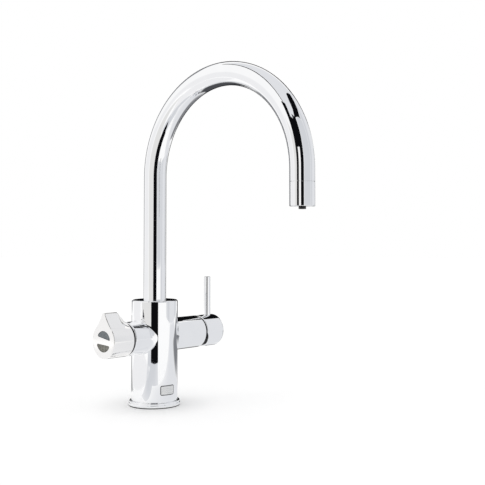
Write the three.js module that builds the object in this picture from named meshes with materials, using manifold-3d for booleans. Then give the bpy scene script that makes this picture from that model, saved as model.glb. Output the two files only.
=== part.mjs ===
// A boiling water tap: a gooseneck kitchen tap with a boiling and chilled control on its left arm
// and a single-lever mixer on its right arm. Millimetres, +Z up. The origin is the centre of the
// tap's underside. The spout reaches along -Y, the control arm along -X and the mixer arm along +X.

import * as THREE from 'three';
import { mergeVertices } from 'three/addons/utils/BufferGeometryUtils.js';
import Module from 'manifold-3d';

const wasm = await Module();
wasm.setup();

// ---- Driving dimensions -------------------------------------------------------------------------

const slip = 0.3; // clearance between pieces that move on each other, or are fitted together
const past = 1; // how far a cut runs past the face that it opens
const edge = 0.5; // chamfer on the foot ring, the collar and the lever
const fineEdge = 0.4; // chamfer at the joint lines and on the nozzle

// Body and foot
const bodyRadius = 26;
const bodyHeight = 118.2; // the arms and the spout's socket keep their distance from the top
const bodyWall = 5;
const bodyTopWall = 6;
const bodyTopRounding = 1.8;
const gasketThickness = 0.9;
const gasketInset = 0.7; // how far the gasket stays inside the ring's edge
const ringWidth = 2.8; // of the base ring, outside its bore
const ringHeight = 5.1;
const ringStepHeight = 2.7; // height of the wider lower band
const ringStepInset = 0.6;
const insertHeight = 22;
const tailRadius = 4;
const tailWall = 1;
const tailCircle = 12; // radius of the circle that the inlet tails stand on
const tailSocketDepth = 6;
const studHoleRadius = 2.6;

// Plate on the front of the body
const badgeWidth = 18.2;
const badgeHeight = 10.9;
const badgeCentreHeight = 19.4;
const badgeCorner = 2;
const badgeThickness = 0.55;
const badgeProud = 0.3;
const badgeTurn = THREE.MathUtils.degToRad(8); // from the spout's plane towards the control arm

// Arms
const armDrop = 41.05; // from the body's top down to both arms' axis
const armRadius = 18.6;
const armWall = 3;
const armSeat = 14; // from the body's axis to the core's lands that the arms stand on
const armFootFlare = 3.4; // how far an arm's foot spreads to each side
const armFootRise = 1.2; // how far that foot spreads up and down
const controlArmReach = 43.7;
const mixerArmReach = 65.9;
const coreFloor = 5; // metal below the arms' pockets in the core

// Spout
const tubeRadius = 12.7;
const tubeWall = 1;
const archRadius = 106;
const archCentreHeight = 256.9;
const spoutDrop = 13.2; // straight tube after the arch
const swivelFlange = 2; // width and thickness of the flange that keeps the spout in
const swivelSpigot = 6;
const tubeSeat = 3.2; // from the core's top down to the tube's foot
const waterwayRadius = 2;
const waterwayCircle = 7.2; // radius of the circle that the waterways stand on
const sealSection = 1.9;
const bushWall = 2.7;
const bushScrewDepth = 1; // of the lock screw's hole in the bush
const waterTubeRadius = 3.5;
const waterTubeWall = 0.9;
const collarLength = 24;
const collarWall = 1.5;
const collarSpigot = 6;
const nozzleProud = 2.8;
const nozzleRadius = 3.7;
const nozzleLength = 14;
const aeratorLength = 12;
const aeratorInset = 0.8;

// Control knob
const knobGap = 2; // joint line between arm and knob
const knobDepth = 28.55;
const knobTipHeight = 30.4; // from the arm's axis
const knobTipRadius = 2.8;
const knobFlankRadius = 60; // of the hollow flanks between the round part and the tip
const knobGrowth = 10.5; // length over which the round end grows into the teardrop
const knobEdge = 0.7;
const knobWall = 4;
const knobFaceWall = 3;
const hubInset = 1.2; // from the knob's rim to its hub
const seamRingTail = 3; // how far the knob's joint ring goes into the arm
const seamRingWall = 1.7;
const seamRingInset = 0.8; // from the arm's surface to the edge of either joint ring
const buttonRadius = 11.3;
const buttonFlat = 3.5; // from the axis to a button's straight edge
const upperButtonTurn = THREE.MathUtils.degToRad(10); // both straight edges fall towards the spout's side
const lowerButtonTurn = THREE.MathUtils.degToRad(4);
const buttonInset = 0.2;
const buttonFlange = 0.9;
const buttonFlangeWidth = 1;
const switchPadThickness = 1;
const buttonTravel = 1.2;
const spindleRadius = 4;
const springRadius = 8;
const springWire = 0.8;
const springTurns = 4;
const springPitch = 1.9;

// Mixer
const mixerGap = 1.7; // joint line between arm and cap
const seamRingShare = 0.4; // how much of that line its ring fills
const capLength = 28.9;
const capRounding = 3.2;
const capWall = 1.5;
const capLinerWall = 3;
const capSolidEnd = 17;
const capReliefAngle = THREE.MathUtils.degToRad(25); // slope of the rim's half below the lever
const leverRadius = 3.8;
const leverTop = 64.2; // above the arm's axis
const leverFromEnd = 10.9; // lever's axis to the cap's end
const leverSocketDepth = 10;
const stemRadius = 3.2;
const pivotFromRim = 9.9; // tilt axis inside the arm, from the arm's end
const pivotPinRadius = 1.4;
const carrierRadius = 9.6;
const carrierHalf = 6; // from the tilt axis to either end of the stem's carrier
const carrierFloor = 1;
const stemSwing = 2.6; // room above and below the stem in its carrier
const stemEndRoom = 0.8;
const cartridgeNutLength = 5;
const cartridgeNutInset = 1;
const cartridgeSealThickness = 1.5;
const cartridgeSealInset = 2;
const screwRadius = 1.7;
const screwInset = 1; // how far a screw's end lies under the surface

// ---- Sizes that follow from them ----------------------------------------------------------------

const bodyBore = bodyRadius - bodyWall;
const coreRadius = bodyBore - slip;
const coreTop = bodyHeight - bodyTopWall - slip;
const armHeight = bodyHeight - armDrop; // of both arms' axis above the underside
const coreBottom = armHeight - armRadius - coreFloor;
const armBore = armRadius - armWall;
const socketFloor = armHeight + armRadius + slip + past;
const socketRadius = tubeRadius + slip + bushWall + slip;
const tubeBore = tubeRadius - tubeWall;
const tubeFoot = coreTop - tubeSeat;
const bushBottom = socketFloor + slip + swivelFlange + slip;
const tubeEnd = archCentreHeight - spoutDrop;
const outletReach = 2 * archRadius;
const outletHeight = tubeEnd - slip - collarLength;
const knobStart = controlArmReach + knobGap;
const knobFace = knobStart + knobDepth;
const capStart = mixerArmReach + mixerGap;
const capEnd = capStart + capLength;
const pivotReach = mixerArmReach - pivotFromRim;
const capBore = armRadius - capWall;
const cutterSize = 3 * armRadius; // side of the block that slopes the cap's rim

// ---- Finishes -----------------------------------------------------------------------------------

const chrome = { color: 0xe6e8ea, roughness: 0.05, metalness: 1 };
const steel = { color: 0xb9bcc0, roughness: 0.3, metalness: 1 };
const brass = { color: 0xc2a15a, roughness: 0.35, metalness: 1 };
const copper = { color: 0xb8734c, roughness: 0.35, metalness: 1 };
const black = { color: 0x17181a, roughness: 0.5, metalness: 0 };
const white = { color: 0xe9e8e2, roughness: 0.5, metalness: 0 };
const blueGrey = { color: 0x6e7376, roughness: 0.35, metalness: 0 };
const warmGrey = { color: 0x77756b, roughness: 0.35, metalness: 0 };
const rubber = { color: 0x202122, roughness: 0.8, metalness: 0 };

// ---- Shape helpers ------------------------------------------------------------------------------

// Merged triangles of a closed surface, turned to face outwards.
function closedTriangles(geometry) {
  const bare = geometry.clone();
  bare.deleteAttribute('normal');
  bare.deleteAttribute('uv');
  const merged = mergeVertices(bare, 1e-4);
  const points = merged.attributes.position.array;
  const corner = (vertex) => new THREE.Vector3().fromArray(points, 3 * vertex);
  const triangles = [];
  let volume = 0;
  for (let i = 0; i < merged.index.count; i += 3) {
    const [a, b, c] = [0, 1, 2].map((k) => merged.index.getX(i + k));
    if (a === b || b === c || c === a) continue;
    triangles.push([a, b, c]);
    volume += corner(a).dot(corner(b).cross(corner(c)));
  }
  const facing = volume < 0 ? triangles.map(([a, b, c]) => [a, c, b]) : triangles;
  return { points: Float32Array.from(points), triangles: Uint32Array.from(facing.flat()) };
}

function toSolid(geometry) {
  const { points, triangles } = closedTriangles(geometry);
  return new wasm.Manifold(new wasm.Mesh({ numProp: 3, vertProperties: points, triVerts: triangles }));
}

function toGeometry(solid) {
  const mesh = solid.getMesh();
  const geometry = new THREE.BufferGeometry();
  geometry.setAttribute('position', new THREE.BufferAttribute(Float32Array.from(mesh.vertProperties), 3));
  geometry.setIndex(new THREE.BufferAttribute(Uint32Array.from(mesh.triVerts), 1));
  return geometry;
}

const cut = (body, ...tools) =>
  toGeometry(tools.reduce((left, tool) => left.subtract(toSolid(tool)), toSolid(body)));
const join = (body, ...others) =>
  toGeometry(others.reduce((sum, other) => sum.add(toSolid(other)), toSolid(body)));
const common = (body, other) => toGeometry(toSolid(body).intersect(toSolid(other)));

// A profile of [radius, height] points turned round the Z axis.
function turned(profile, sides = 32) {
  const touchesAxis = profile[0][0] === 0;
  const loop = touchesAxis ? profile : [...profile, profile[0]];
  const points = loop.map(([radius, height]) => new THREE.Vector2(radius, height));
  return new THREE.LatheGeometry(points, sides).rotateX(Math.PI / 2);
}

const bar = (radius, low, high, sides = 24) =>
  turned([[0, low], [radius, low], [radius, high], [0, high]], sides);
const ring = (outer, inner, low, high, sides = 32) =>
  turned([[inner, low], [outer, low], [outer, high], [inner, high]], sides);

// Points of a quarter-round from the side of a cylinder onto its end, as [radius, height].
function roundedCorner(radius, height, rounding, steps = 4) {
  return Array.from({ length: steps + 1 }, (_, i) => {
    const angle = (i / steps) * (Math.PI / 2);
    return [radius - rounding * (1 - Math.cos(angle)), height - rounding * (1 - Math.sin(angle))];
  });
}

const block = (x, y, z) => new THREE.BoxGeometry(x, y, z);

// The closed surface over rows of points, each row a closed loop. A ring's last row joins its first
// one, and otherwise both ends are closed by a fan from a point of their own.
function lofted(rows, ends) {
  const count = rows[0].length;
  const points = rows.flat();
  const faces = [];
  rows.forEach((_, i) => {
    if (ends && i === rows.length - 1) return;
    const [low, high] = [i * count, ((i + 1) % rows.length) * count];
    for (let k = 0; k < count; k += 1) {
      const next = (k + 1) % count;
      faces.push([low + k, low + next, high + next], [low + k, high + next, high + k]);
    }
  });
  if (ends) {
    const [start, end, last] = [points.length, points.length + 1, points.length - count];
    points.push(...ends);
    for (let k = 0; k < count; k += 1) {
      const next = (k + 1) % count;
      faces.push([start, next, k], [end, last + k, last + next]);
    }
  }
  const geometry = new THREE.BufferGeometry().setFromPoints(points);
  return geometry.setIndex(faces.flat());
}

function circlePoints(radius, sides) {
  return Array.from({ length: sides }, (_, i) => {
    const angle = (i / sides) * 2 * Math.PI;
    return new THREE.Vector2(radius * Math.cos(angle), radius * Math.sin(angle));
  });
}

// A round pipe carried along a path.
function pipe(path, outer, inner, steps, sides) {
  const section = new THREE.Shape(circlePoints(outer, sides));
  section.holes.push(new THREE.Path(circlePoints(inner, Math.round(sides * 0.8)).reverse()));
  return new THREE.ExtrudeGeometry(section, { steps, extrudePath: path });
}

// The half circle of the spout, from above the body to above the outlet.
class Arch extends THREE.Curve {
  getPoint(t) {
    const angle = t * Math.PI;
    return new THREE.Vector3(0, -archRadius + archRadius * Math.cos(angle),
      archCentreHeight + archRadius * Math.sin(angle));
  }
}

function spoutPath(low, end) {
  const path = new THREE.CurvePath();
  path.add(new THREE.LineCurve3(new THREE.Vector3(0, 0, low), new THREE.Vector3(0, 0, archCentreHeight)));
  path.add(new Arch());
  path.add(new THREE.LineCurve3(new THREE.Vector3(0, -outletReach, archCentreHeight),
    new THREE.Vector3(0, -outletReach, end)));
  return path;
}

// ---- Groups -------------------------------------------------------------------------------------

const tap = new THREE.Group();

function piece(parent, name, finish, geometry) {
  const shape = toGeometry(toSolid(geometry));
  shape.computeVertexNormals();
  const mesh = new THREE.Mesh(shape, new THREE.MeshStandardMaterial({ ...finish, flatShading: true }));
  mesh.name = name;
  parent.add(mesh);
  return mesh;
}

// An arm's group: its Z runs outwards along the arm, its Y is up, and its origin is on the body's axis.
function armGroup(outward) {
  const group = new THREE.Group();
  const up = new THREE.Vector3(0, 0, 1);
  const axis = new THREE.Vector3(outward, 0, 0);
  group.setRotationFromMatrix(new THREE.Matrix4().makeBasis(up.clone().cross(axis), up, axis));
  group.position.set(0, 0, armHeight);
  group.updateMatrix();
  tap.add(group);
  return group;
}

const controlSide = armGroup(-1);
const mixerSide = armGroup(1);
const outlet = new THREE.Group();
outlet.position.set(0, -outletReach, outletHeight);
tap.add(outlet);

// ---- Foot ---------------------------------------------------------------------------------------

const tailAngles = [90, 210, 330].map(THREE.MathUtils.degToRad);
const studAngles = [30, 150].map(THREE.MathUtils.degToRad);
const onTailCircle = (angle) => [tailCircle * Math.cos(angle), tailCircle * Math.sin(angle), 0];

function makeFoot() {
  const ringBore = bodyRadius + slip;
  const ringRadius = ringBore + ringWidth;
  const ringBase = gasketThickness + slip / 3;
  const ringTop = ringBase + ringHeight;
  const step = ringBase + ringStepHeight;
  const bandRadius = ringRadius - ringStepInset;
  piece(tap, 'base_gasket', rubber,
    ring(ringRadius - gasketInset, coreRadius + slip, 0, gasketThickness, 40));
  piece(tap, 'base_ring', chrome, turned([
    [ringBore, ringBase], [ringRadius, ringBase], [ringRadius, step],
    [bandRadius, step], [bandRadius, ringTop - edge], [bandRadius - edge, ringTop], [ringBore, ringTop],
  ], 40));

  const passages = tailAngles.map((angle) =>
    bar(tailRadius + slip, -past, insertHeight + past, 12).translate(...onTailCircle(angle)));
  const studHoles = studAngles.map((angle) =>
    bar(studHoleRadius, -past, insertHeight + past, 12).translate(...onTailCircle(angle)));
  piece(tap, 'base_insert', brass, cut(bar(coreRadius, 0, insertHeight, 36), ...passages, ...studHoles));

  const names = ['cold_tail', 'hot_tail', 'filtered_tail'];
  tailAngles.forEach((angle, i) => {
    const tail = ring(tailRadius, tailRadius - tailWall, slip, coreBottom + tailSocketDepth - slip, 12);
    piece(tap, names[i], copper, tail).position.set(...onTailCircle(angle));
  });
}

// ---- Body ---------------------------------------------------------------------------------------

// The curved, round-cornered space of the plate between two radii, grown by a margin all round.
function badgeSpace(outer, inner, margin) {
  const [halfWidth, halfHeight] = [badgeWidth / 2 + margin, badgeHeight / 2 + margin];
  const corner = badgeCorner + margin;
  const outline = new THREE.Shape();
  outline.moveTo(halfWidth, halfHeight - corner);
  outline.absarc(halfWidth - corner, halfHeight - corner, corner, 0, Math.PI / 2);
  outline.absarc(corner - halfWidth, halfHeight - corner, corner, Math.PI / 2, Math.PI);
  outline.absarc(corner - halfWidth, corner - halfHeight, corner, Math.PI, 1.5 * Math.PI);
  outline.absarc(halfWidth - corner, corner - halfHeight, corner, 1.5 * Math.PI, 2 * Math.PI);
  const straight = { depth: 2 * outer, bevelEnabled: false, curveSegments: 4 };
  const punch = new THREE.ExtrudeGeometry(outline, straight)
    .rotateX(Math.PI / 2).translate(0, 0, badgeCentreHeight);
  const band = ring(outer, inner, badgeCentreHeight - badgeHeight, badgeCentreHeight + badgeHeight, 72);
  return common(band, punch).rotateZ(-badgeTurn);
}

// The blend between the body and an arm, in the arm's group. Its foot on the body is an oval, widest at
// the sides, where the corner is open. From the foot an arc runs up the plane that touches the body
// there and out along the arm. It stops just above the arm, and its inner side lies in the arm's hole.
function armBlendRing() {
  const [sides, steps, widest] = [40, 5, 0.87];
  const footWidth = Math.min(armRadius + armFootFlare, widest * bodyRadius);
  const footHeight = armRadius + armFootRise;
  const rows = Array.from({ length: sides }, (_, i) => {
    const angle = (i / sides) * 2 * Math.PI;
    const [across, up] = [Math.cos(angle), Math.sin(angle)];
    const foot = new THREE.Vector3(footWidth * across, footHeight * up, 0);
    foot.z = Math.sqrt(bodyRadius ** 2 - foot.x ** 2);
    const bend = new THREE.Vector3(armRadius * across, armRadius * up, foot.z);
    bend.z += (foot.x - bend.x) * foot.x / foot.z;
    const onArm = bend.clone().setZ(bend.z + foot.distanceTo(bend));
    const arc = new THREE.QuadraticBezierCurve3(foot, bend, onArm).getPoints(steps).slice(0, -2);
    const sunk = foot.clone().multiply(new THREE.Vector3(1 - bodyWall / bodyRadius / 2, 1, 1))
      .setZ(foot.z - bodyWall / 2);
    const inner = new THREE.Vector3((armRadius - past) * across, (armRadius - past) * up, 0);
    return [inner.clone().setZ(sunk.z), sunk, ...arc, inner.clone().setZ(arc.at(-1).z)];
  });
  return lofted(rows);
}

function makeBody() {
  const bottom = gasketThickness + slip / 3;
  const outline = [
    [bodyBore, bottom], [bodyRadius, bottom], ...roundedCorner(bodyRadius, bodyHeight, bodyTopRounding),
    [tubeRadius + slip, bodyHeight], [tubeRadius + slip, bodyHeight - bodyTopWall],
    [bodyBore, bodyHeight - bodyTopWall],
  ];
  const armHoles = bar(armRadius + slip, -2 * bodyRadius, 2 * bodyRadius, 36)
    .rotateY(Math.PI / 2).translate(0, 0, armHeight);
  const plateOuter = bodyRadius + badgeProud;
  const plateInner = plateOuter - badgeThickness;
  const screw = lockScrew(screwRadius + slip, coreRadius - past, bodyRadius + past);
  const blends = [controlSide, mixerSide].map((side) => armBlendRing().applyMatrix4(side.matrix));
  piece(tap, 'body_shell', chrome, cut(join(turned(outline, 40), ...blends), armHoles, screw,
    badgeSpace(bodyRadius + past, plateInner - slip / 2, slip / 2)));
  piece(tap, 'badge_plate', steel, badgeSpace(plateOuter, plateInner, 0));
}

// A radial screw, or the hole for it, in the back of the body at the height of the spout bush.
function lockScrew(radius, from, to) {
  const height = (bushBottom + coreTop - slip) / 2;
  return bar(radius, from, to, 12).rotateX(-Math.PI / 2).translate(0, 0, height);
}

function makeCore() {
  const pockets = [-1, 1].map((side) => bar(armRadius + slip, armSeat, 2 * bodyRadius, 36)
    .rotateY(side * Math.PI / 2).translate(0, 0, armHeight));
  const socket = bar(socketRadius, socketFloor, coreTop + past, 32);
  const crossWay = bar(spindleRadius, -armSeat - past, armSeat + past, 12)
    .rotateY(Math.PI / 2).translate(0, 0, armHeight);
  const riser = bar(waterTubeRadius, armHeight, socketFloor + past, 12);
  const ports = tailAngles.map((angle) =>
    bar(tailRadius + slip, coreBottom - past, coreBottom + tailSocketDepth, 12)
      .translate(...onTailCircle(angle)));
  piece(tap, 'valve_core', brass, cut(bar(coreRadius, coreBottom, coreTop, 36),
    ...pockets, socket, crossWay, riser, ...ports, lockScrew(screwRadius + slip, 0, bodyRadius)));
  const bush = ring(socketRadius - slip, tubeRadius + slip, bushBottom, coreTop - slip, 32);
  piece(tap, 'spout_bush', white,
    cut(bush, lockScrew(screwRadius + slip, socketRadius - slip - bushScrewDepth, socketRadius + past)));
  piece(tap, 'spout_lock_screw', steel,
    lockScrew(screwRadius, socketRadius - bushScrewDepth, bodyRadius - screwInset));
}

// ---- Spout --------------------------------------------------------------------------------------

function makeSpout() {
  piece(tap, 'spout_tube', chrome, pipe(spoutPath(tubeFoot, tubeEnd), tubeRadius, tubeBore, 40, 18));

  const flangeBottom = socketFloor + slip;
  const flangeTop = flangeBottom + swivelFlange;
  const grooveWidth = sealSection + slip;
  const grooveFloor = tubeRadius - sealSection;
  const neckTop = tubeFoot - slip;
  const grooveGap = (neckTop - flangeTop - 2 * grooveWidth) / 3;
  const grooves = [0, 1].map((i) => flangeTop + grooveGap + i * (grooveGap + grooveWidth));
  const bore = waterTubeRadius + slip;
  const outline = [
    [bore, flangeBottom], [tubeRadius + swivelFlange, flangeBottom], [tubeRadius + swivelFlange, flangeTop],
    [tubeRadius, flangeTop],
    ...grooves.flatMap((low) => [
      [tubeRadius, low], [grooveFloor, low],
      [grooveFloor, low + grooveWidth], [tubeRadius, low + grooveWidth],
    ]),
    [tubeRadius, neckTop], [tubeBore - slip, neckTop], [tubeBore - slip, neckTop + swivelSpigot],
    [bore, neckTop + swivelSpigot],
  ];
  const waterways = [30, 150, 270].map(THREE.MathUtils.degToRad).map((angle) =>
    bar(waterwayRadius, flangeBottom - past, neckTop + swivelSpigot + past, 8)
      .translate(waterwayCircle * Math.cos(angle), waterwayCircle * Math.sin(angle), 0));
  piece(tap, 'spout_swivel', brass, cut(turned(outline, 24), ...waterways));

  ['spout_seal_lower', 'spout_seal_upper'].forEach((name, i) => {
    const seal = new THREE.TorusGeometry(tubeRadius - sealSection / 2 + slip / 3, sealSection / 2, 5, 20);
    piece(tap, name, rubber, seal).position.set(0, 0, grooves[i] + grooveWidth / 2);
  });

  const waterPath = spoutPath(flangeBottom, outletHeight - nozzleProud + nozzleLength + slip);
  piece(tap, 'filtered_water_tube', white,
    pipe(waterPath, waterTubeRadius, waterTubeRadius - waterTubeWall, 28, 8));
}

function makeOutlet() {
  const collarBore = tubeRadius - collarWall;
  const spigotOuter = tubeBore - slip;
  const spigotTop = collarLength + collarSpigot;
  const shoulder = aeratorInset + aeratorLength + slip;
  piece(outlet, 'outlet_collar', chrome, turned([
    [collarBore, 0], [tubeRadius - edge, 0], [tubeRadius, edge], [tubeRadius, collarLength],
    [spigotOuter, collarLength], [spigotOuter, spigotTop],
    [spigotOuter - collarWall, spigotTop], [spigotOuter - collarWall, shoulder], [collarBore, shoulder],
  ]));
  piece(outlet, 'aerator_insert', black,
    ring(collarBore - slip, nozzleRadius + slip, aeratorInset, aeratorInset + aeratorLength, 28));
  const nozzleBore = waterTubeRadius - waterTubeWall;
  const nozzleTop = nozzleLength - nozzleProud;
  piece(outlet, 'outlet_nozzle', black, turned([
    [nozzleBore, -nozzleProud], [nozzleRadius - fineEdge, -nozzleProud],
    [nozzleRadius, -nozzleProud + fineEdge], [nozzleRadius, nozzleTop], [nozzleBore, nozzleTop],
  ], 20));
}

// ---- Control arm and knob -----------------------------------------------------------------------

// A circle with a raised tip: round below, with hollow flanks that run up to a small round end. The
// flanks are arcs that touch both rounds. With an inset, the whole outline lies that far inside.
function teardrop(inset = 0) {
  const [round, tip] = [armRadius - inset, knobTipRadius - inset];
  const [flank, rise] = [knobFlankRadius + inset, knobTipHeight - knobTipRadius];
  const centreHeight = ((flank + round) ** 2 - (flank + tip) ** 2 + rise ** 2) / (2 * rise);
  const centreAcross = Math.sqrt((flank + round) ** 2 - centreHeight ** 2);
  const low = Math.atan2(centreHeight, centreAcross);
  const high = Math.atan2(centreHeight - rise, centreAcross);
  const arc = (radius, x, y, from, to, steps) => Array.from({ length: steps + 1 }, (_, i) => {
    const angle = from + ((to - from) * i) / steps;
    return new THREE.Vector2(x + radius * Math.cos(angle), y + radius * Math.sin(angle));
  });
  return [
    ...arc(round, 0, 0, Math.PI - low, 2 * Math.PI + low, 30),
    ...arc(flank, centreAcross, centreHeight, Math.PI + low, Math.PI + high, 5).slice(1, -1),
    ...arc(tip, 0, rise, high, Math.PI - high, 6),
    ...arc(flank, -centreAcross, centreHeight, -high, -low, 5).slice(1, -1),
  ];
}

// The knob's outer form: a circle at the joint line that grows into the teardrop.
function knobForm() {
  const raised = (outline, height) => outline.map(({ x, y }) => new THREE.Vector3(x, y, height));
  const circle = (radius) => teardrop().map((point) => point.setLength(radius));
  const grown = (share) => circle(armRadius).map((point, i) => point.lerp(teardrop()[i], share));
  return lofted([
    raised(circle(armRadius - knobEdge), knobStart),
    raised(grown(knobEdge / knobGrowth), knobStart + knobEdge),
    raised(teardrop(), knobStart + knobGrowth),
    raised(teardrop(), knobFace - knobEdge),
    raised(teardrop(knobEdge), knobFace),
  ], [new THREE.Vector3(0, 0, knobStart), new THREE.Vector3(0, 0, knobFace)]);
}

// A half-moon: the part of a circle above, or with side -1 below, a straight edge.
function halfMoon(radius, flat, side) {
  const start = Math.asin(flat / radius);
  const outline = new THREE.Shape();
  outline.absarc(0, 0, radius, side * start, side * (Math.PI - start), side < 0);
  return outline;
}

const slab = (outline, low, high) =>
  new THREE.ExtrudeGeometry(outline, { depth: high - low, bevelEnabled: false, curveSegments: 14 })
    .translate(0, 0, low);

// The turned sleeve of an arm, from its seat on the core out to its open end.
const sleeve = (reach) => turned([
  [armBore, armSeat + slip], [armRadius, armSeat + slip], [armRadius, reach - fineEdge],
  [armRadius - fineEdge, reach], [armBore, reach],
]);

function makeControlArm() {
  piece(controlSide, 'control_arm', chrome, sleeve(controlArmReach));
  const springRoom = springTurns * springPitch + 2 * springWire;
  const valveEnd = controlArmReach - springRoom - slip;
  piece(controlSide, 'control_valve', brass,
    ring(armBore - slip, spindleRadius + slip, armSeat + slip, valveEnd, 28));
  const ringInner = controlArmReach + slip / 2;
  const ringOuter = ringInner + knobGap - 2 * slip;
  const tail = armBore - slip;
  piece(controlSide, 'knob_seam_ring', black, turned([
    [tail, controlArmReach - seamRingTail], [tail, ringInner], [armRadius - seamRingInset, ringInner],
    [armRadius - seamRingInset, ringOuter], [tail - seamRingWall, ringOuter],
    [tail - seamRingWall, controlArmReach - seamRingTail],
  ]));
  piece(controlSide, 'knob_return_spring', steel, returnSpring(valveEnd + slip + springWire));
}

// A coil of round wire about the arm's axis, as one unbroken tube.
function returnSpring(start) {
  class Helix extends THREE.Curve {
    getPoint(t) {
      const angle = 2 * Math.PI * springTurns * t;
      return new THREE.Vector3(springRadius * Math.cos(angle), springRadius * Math.sin(angle),
        start + springPitch * springTurns * t);
    }
  }
  const section = new THREE.Shape(circlePoints(springWire, 5));
  return new THREE.ExtrudeGeometry(section, { steps: 10 * springTurns, extrudePath: new Helix() });
}

function makeKnob() {
  const cavity = armRadius - knobWall;
  const faceBack = knobFace - knobFaceWall;
  const windows = [[1, upperButtonTurn], [-1, lowerButtonTurn]].map(([side, turn]) =>
    slab(halfMoon(buttonRadius, buttonFlat, side), faceBack - past, knobFace + past).rotateZ(-turn));
  const hubStart = knobStart + hubInset;
  const hubLength = (knobDepth - knobFaceWall) / 2;
  const screwReach = hubStart + hubLength / 2;
  const screwHole = bar(screwRadius + slip, spindleRadius + slip / 2, armRadius + past, 12)
    .rotateX(Math.PI / 2).translate(0, 0, screwReach);
  piece(controlSide, 'control_knob', chrome,
    cut(knobForm(), bar(cavity, knobStart - past, faceBack, 32), ...windows, screwHole));

  const hub = ring(cavity - slip, spindleRadius + slip, hubStart, hubStart + hubLength, 28);
  piece(controlSide, 'knob_hub', white, cut(hub, screwHole));
  piece(controlSide, 'knob_grub_screw', steel,
    bar(screwRadius, spindleRadius + slip, armRadius - screwInset, 12)
      .rotateX(Math.PI / 2).translate(0, 0, screwReach));
  piece(controlSide, 'knob_spindle', steel, bar(spindleRadius, armSeat + slip, hubStart + hubLength, 20));

  const flangeBack = faceBack - slip - buttonFlange;
  const padTop = flangeBack - buttonTravel - slip;
  const padBottom = padTop - switchPadThickness;
  const moduleStart = hubStart + hubLength + slip;
  piece(controlSide, 'switch_module', black, bar(cavity - slip, moduleStart, padBottom - slip, 28));
  piece(controlSide, 'switch_pad', rubber, bar(buttonRadius, padBottom, padTop, 24));
  [
    ['upper_button', blueGrey, 1, upperButtonTurn], ['lower_button', warmGrey, -1, lowerButtonTurn],
  ].forEach(([name, finish, side, turn]) => {
    const capOutline = halfMoon(buttonRadius - slip, buttonFlat + slip, side);
    const flangeOutline = halfMoon(buttonRadius + buttonFlangeWidth, buttonFlat - buttonFlangeWidth, side);
    piece(controlSide, name, finish, join(
      slab(capOutline, flangeBack, knobFace - buttonInset),
      slab(flangeOutline, flangeBack, faceBack - slip)).rotateZ(-turn));
  });
}

// ---- Mixer arm and handle -----------------------------------------------------------------------

function makeMixerArm() {
  piece(mixerSide, 'mixer_arm', chrome, sleeve(mixerArmReach));
  const nutEnd = mixerArmReach - cartridgeNutInset;
  const nutStart = nutEnd - cartridgeNutLength;
  const carrierStart = pivotReach - carrierHalf;
  const sealStart = armSeat + slip;
  const sealEnd = sealStart + cartridgeSealThickness;
  piece(mixerSide, 'cartridge_seal', rubber,
    ring(armBore - cartridgeSealInset, spindleRadius, sealStart, sealEnd, 24));
  const cartridge = bar(armBore - slip, sealEnd + slip, nutStart - slip, 32);
  piece(mixerSide, 'mixer_cartridge', white,
    cut(cartridge, bar(carrierRadius + slip, carrierStart - slip, mixerArmReach, 28)));
  piece(mixerSide, 'cartridge_nut', brass,
    ring(armBore - slip, carrierRadius + slip, nutStart, nutEnd, 28));
  const ringInner = mixerArmReach + slip / 2;
  const ringOuter = mixerArmReach + seamRingShare * mixerGap;
  piece(mixerSide, 'mixer_seam_ring', black, turned([
    [armBore - slip, nutEnd + slip], [armBore - slip, ringInner], [armRadius - seamRingInset, ringInner],
    [armRadius - seamRingInset, ringOuter], [carrierRadius + slip, ringOuter],
    [carrierRadius + slip, nutEnd + slip],
  ]));

  const slotStart = carrierStart + carrierFloor;
  const slotLength = 4 * carrierHalf;
  const slot = block(2 * (stemRadius + slip), 2 * (stemRadius + stemSwing), slotLength)
    .translate(0, 0, slotStart + slotLength / 2);
  const pinHole = bar(pivotPinRadius + slip / 2, -2 * carrierRadius, 2 * carrierRadius, 12)
    .rotateY(Math.PI / 2).translate(0, 0, pivotReach);
  piece(mixerSide, 'mixer_carrier', white,
    cut(bar(carrierRadius, carrierStart, pivotReach + carrierHalf, 28), slot, pinHole));
  piece(mixerSide, 'mixer_pivot_pin', steel,
    bar(pivotPinRadius, slip - carrierRadius, carrierRadius - slip, 12)
      .rotateY(Math.PI / 2).translate(0, 0, pivotReach));
  return { pinHole, stemStart: slotStart + stemEndRoom };
}

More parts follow.
